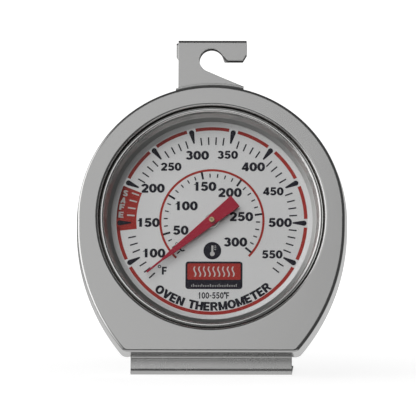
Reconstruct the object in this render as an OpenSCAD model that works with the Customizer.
// Dial oven thermometer: a stamped steel frame with a rack hook and a stand, a glazed dial
// and a bimetal movement behind it.
//
// Every piece is drawn in the face's own coordinates and then leaned back on the stand:
//   x  to the right, y  depth behind the face, z  up along the face,
//   with the dial's axis at x = 0, z = 0 and the face's front surface at y = 0.

/* [Stand] */
// How far the face leans back from upright, in degrees
lean = 15; // [5:1:25]
// Depth of the foot on the table, front to back
foot_depth = 30; // [24:1:45]
// Width of the foot
foot_width = 48.9; // [36:0.1:50]
// Drop from the dial's centre to the bottom of the foot's bend, along the face
foot_drop = 46.7; // [45:0.1:52]

/* [Frame] */
// Radius of the face's outer edge round the top half
face_radius = 40.45; // [39:0.05:42]
// Radius of the arcs that draw the sides in towards the bottom
side_radius = 59; // [56:0.5:80]
// How far the sides run straight down before their arcs start
side_drop = 3; // [1:0.5:8]
// Drop from the dial's centre to the face's bottom edge
face_drop = 41.65; // [40:0.05:43]
// Depth of the frame's wall
frame_depth = 9; // [8.8:0.1:9.4]
// How much the wall flares out from front to back
wall_flare = 0.55; // [0.4:0.05:1.6]
// Thickness of the sheet
sheet = 0.6; // [0.5:0.1:0.7]
// Radius of the face's opening
opening_radius = 35.2; // [35:0.1:36]

/* [Hook] */
// Height of the hook's top above the dial's centre
hook_top = 56.3; // [54:0.1:60]
// Radius of the notch that sits on a rack's wire
notch_radius = 3.65; // [3:0.05:3.8]
// Height of the notch's centre above the dial's centre
notch_height = 50.15; // [49:0.05:50.5]
// Free space between the hook's two plies
hook_gap = 2.8; // [2.5:0.1:5]

/* [Dial] */
// Depth of the dial's printed surface behind the face
dial_depth = 7.4; // [7.2:0.1:7.6]
// Radius of the dial plate
dial_radius = 33.8; // [33:0.1:34]
// Radius of the dial that shows inside the spacer ring
dial_window = 30.56; // [30:0.01:31]
// Radius of the lens
lens_radius = 33.3; // [33.2:0.1:33.5]
// Thickness of the lens
lens_thickness = 2; // [1.5:0.1:2]

/* [Pointer] */
// Distance from the axis to the pointer's tip
pointer_reach = 25.4; // [20:0.1:28]
// Distance from the axis to the pointer's tail
pointer_tail = 9.2; // [4:0.1:12]
// Temperature that the pointer shows at rest, in degrees Fahrenheit
shown_temperature = 77; // [64:1:576]

/* [Movement] */
// Radius of the pointer's shaft
shaft_radius = 0.5; // [0.4:0.05:0.6]
// Radial clearance between the shaft and its two bearings
bearing_clearance = 0.04; // [0.02:0.01:0.08]
// Number of turns in the bimetal coil
coil_turns = 6; // [4:1:8]
// Radius of the coil's outermost turn
coil_radius = 12; // [10:0.5:13]
// Thickness of the bimetal strip
coil_strip = 0.35; // [0.2:0.05:0.4]

/* [Hidden] */
$fn = 96;
gap = 0.1;                      // between neighbouring pieces that only lie against each other
eps = 0.01;                     // overlap that joins the parts of one piece

// Frame
edge_bend = 0.9;                // outer radius of the bend between face and wall
bottom_flare = 0.05;            // flare of the wall along the flat bottom
lip_radius = 34.35;             // inner radius of the lip that turns in round the opening
lip_depth = 2.4;                // depth of that lip's end
corner_radius = 2.4;            // radius of the frame's bottom corners
side_centre = side_radius - face_radius;    // the side arcs' centres lie this far across
rear_radius = face_radius + wall_flare;     // outer radius of the wall's rear edge

// Tabs bent out of the wall's rear edge: the hook at the top and the stand at the bottom
tab_bend = 0.7;                 // inner, concave radius where the stand leaves the wall
hook_root_bend = 1.8;           // and where the hook does
tab_start = frame_depth - tab_bend;         // depth at which the stand's bend starts
hook_start = frame_depth - hook_root_bend;  // and the hook's
hook_root_left = -11.3;
hook_root_right = 9.35;

// Hook outline
hook_left = -10.55;
hook_right = 10.2;
hook_rear_left = -11.25;
arm_bottom = 50.1;
arm_chamfer = [1.2, 2];
notch_x = -0.5;
mouth_slope = 23.6;             // fall of the notch's lower edge, in degrees
mouth_corner = [4.5, arm_bottom];           // where the front ply's notch meets the arm's bottom
rear_corner = [3.25, arm_bottom];           // and the rear ply's
hook_bend = 0.9;                // outer radius of the two bends along the hook's top

// Stand
foot_bend = 1.8;                // outer radius of the foot's bend
foot_corner = 3;                // radius of the foot's two rear corners
foot_bend_z = -foot_drop + foot_bend * cos(lean);
foot_bend_y = frame_depth + foot_bend;
foot_bottom_y = foot_bend_y + foot_bend * sin(lean);

// Height of the dial's centre above the table, and how far back it sits from the foot's middle
centre_height = foot_drop * cos(lean) + foot_bottom_y * sin(lean);
foot_front = -foot_drop * sin(lean) + foot_bottom_y * cos(lean);
centre_back = -foot_front - foot_depth / 2 + foot_bend;

// Glazing stack, by depth
bezel_front = 1.1;
bezel_inner = 32.6;
bezel_outer = 34;
lens_front = 1.9;
lens_back = lens_front + lens_thickness;
gasket_back = 4.3;
spacer_edge = 6.3;
dial_thickness = 0.5;
flange_back = dial_depth + 2 * dial_thickness;
plate_back = flange_back + sheet;

// Case
case_radius = 31.5;
case_back = 15.1;
case_sheet = 0.5;
case_corner = 2.5;
flange_radius = 38.2;
rivet_circle = 36;
rivet_radius = 1.1;
rivet_head = 1.9;
rivet_angles = [45, 135, 225, 315];
vent_count = 12;
vent_inner = 15;
vent_outer = 26;
vent_width = 2.2;

// Movement, by depth
hub_top = 4.75;
blade_front = 5.5;
blade_back = 5.9;
boss_front = 6.8;
bush_back = 9.9;
clip_front = 10;
collet_front = 10.5;
collet_back = 13.2;
strip_front = 10.6;
strip_back = 13.4;
bearing_front = 13.8;
degrees_per_f = 0.522;          // dial angle for each degree Fahrenheit
mid_scale = 325;                // temperature that the pointer shows when it points straight up
rest_angle = (shown_temperature - mid_scale) * degrees_per_f;

steel = [0.66, 0.66, 0.65];
dark_steel = [0.45, 0.45, 0.45];
brass = [0.78, 0.66, 0.38];

// ---------- helpers ----------

// Puts a piece drawn in the face's coordinates where it stands on the table.
module on_stand() {
    translate([0, centre_back, centre_height]) rotate([-lean, 0, 0]) children();
}

// Turns a profile of [radius, depth] points about the dial's axis.
module turned(points) {
    rotate([-90, 0, 0]) rotate_extrude() polygon(points);
}

// A round bar or hole along the dial's axis direction, centred at x, z.
module bar(radius, front, back, x = 0, z = 0) {
    translate([x, front, z]) rotate([-90, 0, 0]) cylinder(r = radius, h = back - front);
}

// A flat outline in x and z, from one depth to another.
module plate(front, back) {
    translate([0, back, 0]) rotate([90, 0, 0]) linear_extrude(back - front) children();
}

// A profile drawn in [depth, height] points, run across from one x to another.
module across(left, right) {
    translate([left, 0, 0]) rotate([90, 0, 90]) linear_extrude(right - left) children();
}

function unit(v) = v / norm(v);

// The points of a circular arc.
function arc(centre, radius, from, to, steps = 8) =
    [for (i = [0:steps]) let (a = from + (to - from) * i / steps)
        centre + radius * [cos(a), sin(a)]];

// One corner of an outline, rounded to a radius.
function corner(before, at, after, radius) =
    let (
        a = unit(before - at),
        b = unit(after - at),
        half = acos(a * b) / 2,
        centre = at + unit(a + b) * radius / sin(half),
        start = at + a * radius / tan(half) - centre,
        end = at + b * radius / tan(half) - centre,
        from = atan2(start.y, start.x),
        turn = (atan2(end.y, end.x) - from + 540) % 360 - 180
    )
    radius == 0 ? [at] : arc(centre, radius, from, from + turn, 6);

// An outline with each corner rounded to its own radius, given as [x, y, radius].
function rounded(points) =
    let (n = len(points), flat = [for (p = points) [p[0], p[1]]])
    [for (i = [0:n - 1])
        each corner(flat[(i + n - 1) % n], flat[i], flat[(i + 1) % n], points[i][2])];

// ---------- frame ----------

// The frame's section from its middle out to the wall: [distance out, depth] points.
function wall_section(out, flare, front, back, bend) =
    concat(
        [[0, back], [0, front]],
        arc([out - bend, front + bend], bend, -90, -6, 6),
        [[out + flare * (back - front) / frame_depth, back]]
    );

// The frame's outer form, or with an inset its hollow.
module frame_form(inset, front, back) {
    bend = edge_bend - min(inset, edge_bend - 0.3);
    module arc_body(x, z, radius)
        translate([x, 0, z]) turned(wall_section(radius - inset, wall_flare, front, back, bend));
    intersection() {
        arc_body(0, 0, face_radius);
        translate([-60, -5, 0]) cube([120, 30, 60]);
    }
    for (side = [0, 1]) mirror([side, 0, 0]) translate([0, 0, -side_drop])
        linear_extrude(side_drop) polygon(wall_section(face_radius - inset, wall_flare, front, back, bend));
    intersection() {
        arc_body(-side_centre, -side_drop, side_radius);
        arc_body(side_centre, -side_drop, side_radius);
        translate([-60, -5, -60]) cube([120, 30, 60 - side_drop]);
        mirror([0, 0, 1]) across(-60, 60)
            polygon([for (p = wall_section(face_drop - inset, bottom_flare, front, back, bend)) [p.y, p.x]]);
        corner_clip(inset);
    }
}

// What rounds the two bottom corners: a plain outline that leaves everything but the corners alone.
module corner_clip(inset) {
    radius = corner_radius - inset;
    low = -face_drop - bottom_flare + inset;
    across_at = side_radius + wall_flare - inset - radius;
    down = low + radius + side_drop;
    centre = [sqrt(across_at * across_at - down * down) - side_centre, low + radius];
    out = unit(centre + [side_centre, side_drop]);
    from = atan2(out.y, out.x);
    right = arc(centre, radius, from, -90, 6);
    far = centre + radius * out + 20 * out;
    plate(-5, 25) polygon(concat(
        [[0, 0], [far.x, 0], far], right,
        [for (i = [len(right) - 1:-1:0]) [-right[i].x, right[i].y]],
        [[-far.x, far.y], [-far.x, 0]]
    ));
}

// The small tabs of the wall that fold in behind the back plate.
module clinch_tabs() {
    for (a = [18, 60, 120, 162]) intersection() {
        turned([[38.6, plate_back], [rear_radius, plate_back],
                [rear_radius, plate_back + 0.5], [38.6, plate_back + 0.5]]);
        rotate([0, -a, 0]) translate([35, 0, -3.5]) cube([10, 20, 7]);
    }
    for (x = [-20, 20])
        translate([x - 3.5, plate_back, -face_drop - bottom_flare])
            cube([7, 0.5, 2.6]);
}

module front_frame() {
    color(steel) on_stand() {
        difference() {
            union() {
                frame_form(0, 0, frame_depth);
                clinch_tabs();
            }
            difference() {
                frame_form(sheet, sheet, frame_depth);
                turned([[0, 0], [lip_radius + sheet, 0], [lip_radius + sheet, lip_depth], [0, lip_depth]]);
            }
            turned(concat(
                [[0, -1], [opening_radius + 1, -1], [opening_radius + 1, 0]],
                arc([opening_radius, opening_radius - lip_radius], opening_radius - lip_radius, -90, -180, 6),
                [[lip_radius, lip_depth + 1], [0, lip_depth + 1]]
            ));
            translate([hook_root_left - 0.3, hook_start, 30])
                cube([hook_root_right - hook_root_left + 0.6, 5, 15]);
            translate([-foot_width / 2 - 0.3, tab_start, -45]) cube([foot_width + 0.6, 5, 15]);
        }
    }
}

// ---------- hook ----------

notch_centre = [notch_x, notch_height];
notch_low = notch_centre + notch_radius * [-sin(mouth_slope), -cos(mouth_slope)];

// Where the straight edge from a corner of the arm touches the notch's round.
function notch_high(at) =
    let (to = at - notch_centre, a = atan2(to.y, to.x) + acos(notch_radius / norm(to)))
    notch_centre + notch_radius * [cos(a), sin(a)];

mouth_right = 14;

// The notch and its mouth, which opens to the right.
module notch(at) {
    translate(notch_centre) circle(r = notch_radius);
    polygon(concat(
        [notch_centre, notch_low,
         [mouth_right, notch_low.y - (mouth_right - notch_low.x) * tan(mouth_slope)],
         [mouth_right, arm_bottom]],
        corner([mouth_right, arm_bottom], at, notch_high(at), 0.6),
        [notch_high(at)]
    ));
}

// The profile of the hook's top: two bends with a flat between them, in [depth, height].
module hook_cap() {
    depth = 2 * sheet + hook_gap;
    outer = concat(
        arc([hook_bend, -hook_bend], hook_bend, 180, 90, 6),
        arc([depth - hook_bend, -hook_bend], hook_bend, 90, 0, 6)
    );
    inner = concat(
        arc([depth - hook_bend, -hook_bend], hook_bend - sheet, 0, 90, 6),
        arc([hook_bend, -hook_bend], hook_bend - sheet, 90, 180, 6)
    );
    translate([frame_depth, hook_top]) polygon(concat(outer, inner));
}

module rack_hook() {
    shoulder = hook_top - hook_bend;
    rear_front = frame_depth + sheet + hook_gap;
    root = rear_radius - wall_flare * hook_root_bend / frame_depth;    // the wall's radius where the hook starts
    flat_from = root + hook_root_bend;
    color(steel) on_stand() {
        // the bend out of the wall, which follows the frame's curve
        intersection() {
            turned(concat(
                arc([flat_from, hook_start], hook_root_bend, 180, 90, 6),
                [[flat_from + 1, frame_depth], [flat_from + 1, frame_depth + sheet]],
                arc([flat_from, hook_start], hook_root_bend + sheet, 90, 180, 6)
            ));
            translate([hook_root_left, 0, 30]) cube([hook_root_right - hook_root_left, 20, 20]);
        }
        // the front ply
        difference() {
            plate(frame_depth, frame_depth + sheet) difference() {
                polygon(rounded([
                    [hook_left, 39, 0], [hook_left, shoulder, 0], [hook_right, shoulder, 0],
                    [hook_right, arm_bottom + arm_chamfer.y, 0.4],
                    [hook_right - arm_chamfer.x, arm_bottom - eps, 0], [hook_right, 39, 0]
                ]));
                notch(mouth_corner);
            }
            bar(flat_from + eps, 0, 20);
        }
        // the top and the short rear ply
        across(hook_left, hook_right) hook_cap();
        plate(rear_front, rear_front + sheet) difference() {
            polygon(rounded([
                [hook_rear_left, arm_bottom + 1.6, 0.4], [hook_rear_left, shoulder - 0.4, 0.4],
                [hook_left, shoulder, 0], [hook_right, shoulder, 0],
                [hook_right, arm_bottom + arm_chamfer.y, 0.4],
                [hook_right - arm_chamfer.x, arm_bottom, 0.3], [hook_rear_left + 1, arm_bottom, 0.3]
            ]));
            notch(rear_corner);
        }
    }
}

// ---------- stand ----------

module stand_foot() {
    half = foot_width / 2;
    root = -face_drop - bottom_flare * tab_start / frame_depth;
    flat_from = root - tab_bend;
    bend_centre = [foot_bend_y, foot_bend_z];
    run = (foot_depth + 5) * [cos(lean), sin(lean)];    // along the table, in the face's coordinates
    down = [sin(lean), -cos(lean)];
    color(steel) intersection() {
        on_stand() across(-half - 1, half + 1) polygon(concat(
            arc([tab_start, flat_from], tab_bend, 90, 0, 6),
            arc(bend_centre, foot_bend, 180, 270 + lean, 8),
            [bend_centre + foot_bend * down + run, bend_centre + (foot_bend - sheet) * down + run],
            arc(bend_centre, foot_bend - sheet, 270 + lean, 180, 8),
            arc([tab_start, flat_from], tab_bend + sheet, 0, 90, 6)
        ));
        translate([0, 0, -1]) linear_extrude(20) polygon(rounded([
            [-half, -foot_depth, 0], [half, -foot_depth, 0],
            [half, foot_depth / 2, foot_corner], [-half, foot_depth / 2, foot_corner]
        ]));
    }
}

// ---------- back ----------

module back_plate() {
    color(steel) on_stand() difference() {
        intersection() {
            frame_form(sheet + gap, 0, frame_depth + 1);
            plate(flange_back, plate_back) square(120, center = true);
        }
        bar(case_radius + gap, 0, 20);
        for (a = rivet_angles) bar(rivet_radius, 0, 20, rivet_circle * cos(a), rivet_circle * sin(a));
    }
}

// The dial case: a drawn cup with a flange, vents and two holes for the movement's parts.
module dial_case() {
    front = dial_depth + dial_thickness;
    bottom = case_radius - case_corner;
    color(steel) on_stand() difference() {
        turned(concat(
            [[flange_radius, front], [flange_radius, flange_back], [case_radius, flange_back]],
            arc([bottom, case_back - case_corner], case_corner, 0, 90, 6),
            [[0, case_back], [0, case_back - case_sheet]],
            arc([bottom, case_back - case_corner], case_corner - case_sheet, 90, 0, 6),
            [[case_radius - case_sheet, front]]
        ));
        for (a = rivet_angles) bar(rivet_radius, 0, 20, rivet_circle * cos(a), rivet_circle * sin(a));
        for (i = [0:vent_count - 1]) rotate([0, (i + 0.5) * 360 / vent_count, 0]) {
            bar(vent_width / 2, 14, 16, vent_inner);
            bar(vent_width / 2, 14, 16, vent_outer);
            translate([vent_inner, 14, -vent_width / 2]) cube([vent_outer - vent_inner, 2, vent_width]);
        }
        bar(1.5, 14, 16);
        bar(rivet_radius, 14, 16, anchor_x, coil_radius);
    }
}

// One rivet: a flat head in front, a shank and a domed head behind.
module rivet(front, back, head, shank) {
    rise = 0.6;
    turned(concat(
        [[0, front - rise], [head, front - rise], [head, front], [shank, front], [shank, back], [head, back]],
        [for (i = [1:5]) [head * cos(i * 18), back + rise * sin(i * 18)]]
    ));
}

module case_rivets() {
    color(dark_steel) on_stand() for (a = rivet_angles)
        translate([rivet_circle * cos(a), 0, rivet_circle * sin(a)])
            rivet(dial_depth + dial_thickness, plate_back, rivet_head, rivet_radius);
}

// ---------- glazing ----------

module bezel_ring() {
    inner_round = 0.6;
    outer_round = bezel_outer - bezel_inner - inner_round;
    color([0.8, 0.8, 0.8]) on_stand() turned(concat(
        [[bezel_inner, lens_front - gap]],
        arc([bezel_inner + inner_round, bezel_front + inner_round], inner_round, 180, 270, 6),
        arc([bezel_outer - outer_round, bezel_front + outer_round], outer_round, 270, 360, 6),
        [[bezel_outer, lip_depth + gap], [36, lip_depth + gap], [36, lip_depth + 0.6],
         [lens_radius + gap, lip_depth + 0.6], [lens_radius + gap, lens_front - gap]]
    ));
}

module lens() {
    color([0.85, 0.9, 0.92, 0.3]) on_stand() turned([
        [0, lens_front], [lens_radius - 0.3, lens_front], [lens_radius, lens_front + 0.3],
        [lens_radius, lens_back], [0, lens_back]
    ]);
}

module lens_gasket() {
    color([0.4, 0.4, 0.4]) on_stand() turned([
        [bezel_inner + gap, lens_back], [lens_radius, lens_back],
        [lens_radius, gasket_back], [bezel_inner + gap, gasket_back]
    ]);
}

// The polished ring that slopes in from the lens to the dial, steeply and then gently, and keeps the two apart.
module spacer_ring() {
    t = 0.4;
    knee = [31.75, 5.8];        // where the slope turns from steep to gentle
    color([0.75, 0.75, 0.75]) on_stand() turned(rounded([
        [35.9, lip_depth + 0.6, 0], [35.9, gasket_back + t, 0], [bezel_inner + 0.24, gasket_back + t, 0],
        [knee.x + 0.28, knee.y + 0.32, 0.8],
        [dial_window + 0.55, spacer_edge + 0.2, 0], [dial_window + 0.55, dial_depth, 0],
        [dial_window + 0.15, dial_depth, 0], [dial_window + 0.15, spacer_edge + 0.1, 0],
        [dial_window, spacer_edge, 0], [knee.x, knee.y, 0.4], [bezel_inner, gasket_back, 0],
        [35.5, gasket_back, 0], [35.5, lip_depth + 0.6, 0]
    ]));
}

// ---------- dial ----------

module dial_plate() {
    color([0.8, 0.8, 0.8]) on_stand() difference() {
        bar(dial_radius, dial_depth, dial_depth + dial_thickness);
        bar(1.6, 0, 20);
    }
}

module dial_bushing() {
    color([0.6, 0.6, 0.6]) on_stand() difference() {
        turned([
            [0, boss_front], [2, boss_front], [2.3, boss_front + 0.3], [2.3, dial_depth],
            [1.6, dial_depth], [1.6, bush_back], [0, bush_back]
        ]);
        bar(shaft_radius + bearing_clearance, 0, 20);
    }
}

module bushing_nut() {
    nut_front = dial_depth + dial_thickness;
    color(brass) on_stand() difference() {
        translate([0, nut_front, 0]) rotate([-90, 0, 0]) cylinder(r = 2.9, h = 1.4, $fn = 6);
        bar(1.6, 0, 20);
    }
}

// ---------- pointer and its shaft ----------

// Turns what is drawn pointing straight up to the temperature that the pointer shows.
module at_rest() {
    on_stand() rotate([0, rest_angle, 0]) children();
}

module pointer() {
    tail = 2.15;
    tip = 0.25;
    color([0.62, 0.12, 0.2]) at_rest() difference() {
        plate(blade_front, blade_back) polygon(rounded([
            [-tail, -pointer_tail, 0.15], [-tip, pointer_reach, 0.1],
            [tip, pointer_reach, 0.1], [tail, -pointer_tail, 0.15]
        ]));
        bar(0.8, 0, 20);
    }
}

module pointer_hub() {
    color(brass) at_rest() difference() {
        turned([
            [0, hub_top], [0.7, hub_top], [0.8, hub_top + 0.1], [0.8, blade_back],
            [1.3, blade_back], [1.3, blade_back + 0.7], [0, blade_back + 0.7]
        ]);
        bar(shaft_radius, 0, 20);
    }
}

module pointer_shaft() {
    color(dark_steel) at_rest() bar(shaft_radius, hub_top + 0.1, 14.4);
}

module shaft_clip() {
    color(dark_steel) at_rest() difference() {
        bar(1.2, clip_front, clip_front + 0.3);
        bar(shaft_radius, 0, 20);
        translate([0, 9, -0.35]) cube([3, 3, 0.7]);
    }
}

module coil_collet() {
    color(brass) at_rest() difference() {
        bar(1.5, collet_front, collet_back);
        bar(shaft_radius, 0, 20);
        rotate([0, -rest_angle, 0]) translate([0.8, strip_front - 0.5, -0.25]) cube([2, 4, 0.5]);
    }
}

module thrust_washer() {
    color(brass) at_rest() difference() {
        bar(1.2, 13.35, 13.6);
        bar(shaft_radius, 0, 20);
    }
}

// ---------- coil and its fixings ----------

coil_start = 2.3;
coil_tail = 0.9;                // the strip's inner end, in the collet's slot
anchor_x = -2.6;
anchor_tail = anchor_x - 1.6;   // the strip's outer end, in the anchor's slot

// The middle line of the strip: out of the collet, round the turns and into the anchor.
coil_sweep = (coil_turns - 1) * 360 + 90;
coil_steps = coil_sweep / 15;
coil_line = concat(
    [[coil_tail, 0]],
    [for (i = [0:coil_steps]) let (r = coil_start + (coil_radius - coil_start) * i / coil_steps)
        r * [cos(15 * i), sin(15 * i)]],
    [[anchor_tail, coil_radius]]
);

// One edge of a strip that follows a middle line, at a distance to its left.
function edge(points, distance) =
    let (last = len(points) - 1)
    [for (i = [0:last])
        let (along = unit(points[min(i + 1, last)] - points[max(i - 1, 0)]))
        points[i] + distance * [-along.y, along.x]];

module bimetal_coil() {
    inner = edge(coil_line, coil_strip / 2);
    outer = edge(coil_line, -coil_strip / 2);
    last = len(coil_line) - 1;
    color([0.7, 0.6, 0.45]) on_stand() plate(strip_front, strip_back)
        polygon(concat(inner, [for (i = [last:-1:0]) outer[i]]));
}

module coil_anchor() {
    height = coil_strip + 1.6;
    color(dark_steel) on_stand() difference() {
        translate([anchor_x - 1.5, strip_front - 0.4, coil_radius - height / 2])
            cube([3, case_back - case_sheet - strip_front + 0.4, height]);
        translate([anchor_x - 2, strip_front - 1, coil_radius - coil_strip / 2 - 0.03])
            cube([4, strip_back - strip_front + 1.05, coil_strip + 0.06]);
        bar(0.6, strip_back + 0.2, 20, anchor_x, coil_radius);
    }
}

module anchor_rivet() {
    color(dark_steel) on_stand() translate([anchor_x, 0, coil_radius]) turned(concat(
        [[0, strip_back + 0.2], [0.6, strip_back + 0.2], [0.6, case_back - case_sheet],
         [rivet_radius, case_back - case_sheet], [rivet_radius, case_back], [rivet_head, case_back]],
        [for (i = [1:5]) [rivet_head * cos(i * 18), case_back + 0.5 * sin(i * 18)]]
    ));
}

module rear_bearing() {
    color(brass) on_stand() difference() {
        turned([
            [0, bearing_front], [2.2, bearing_front], [2.2, case_back - case_sheet],
            [1.5, case_back - case_sheet], [1.5, case_back + 0.5], [1.2, case_back + 0.8],
            [0, case_back + 0.8]
        ]);
        bar(shaft_radius + bearing_clearance, bearing_front - 1, 14.6);
    }
}

front_frame();
rack_hook();
stand_foot();
back_plate();
dial_case();
case_rivets();
bezel_ring();
lens();
lens_gasket();
spacer_ring();
dial_plate();
dial_bushing();
bushing_nut();
pointer();
pointer_hub();
pointer_shaft();
shaft_clip();
coil_collet();
thrust_washer();
bimetal_coil();
coil_anchor();
anchor_rivet();
rear_bearing();
